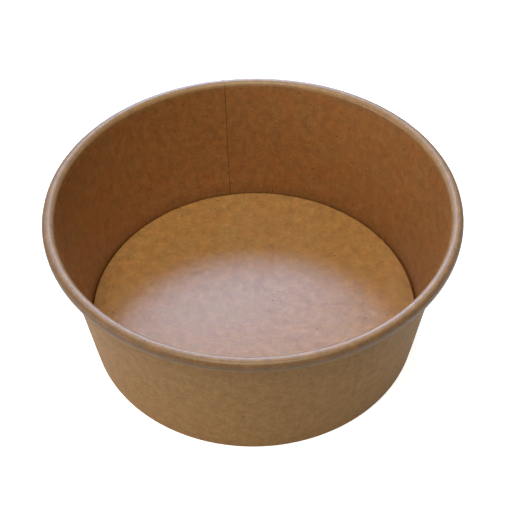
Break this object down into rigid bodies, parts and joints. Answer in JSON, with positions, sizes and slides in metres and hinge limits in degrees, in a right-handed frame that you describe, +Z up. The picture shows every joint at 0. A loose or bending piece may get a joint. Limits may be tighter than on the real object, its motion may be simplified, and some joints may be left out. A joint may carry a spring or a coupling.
{
  "type": "kraft paper salad bowl",
  "caption": "Round, slightly tapered paperboard food bowl with a rolled rim, a lapped side seam and a raised floor held in the folded foot.",
  "frame": {"origin": "centre of the ring on which the bowl stands, on the table plane", "axes": "+Z up along the bowl's axis, out of its mouth; +X to the right and +Y away from the viewer, with the side seam on the far wall just left of +Y"},
  "size_m": [0.15, 0.15, 0.0615],
  "materials": {
    "wall_board": "brown kraft board with a thin satin coating",
    "floor_board": "brown kraft board with a thin satin coating"
  },
  "bodies": {
    "root": {"side_wall": "wall_board", "bottom_disc": "floor_board"}
  },
  "joints": []
}
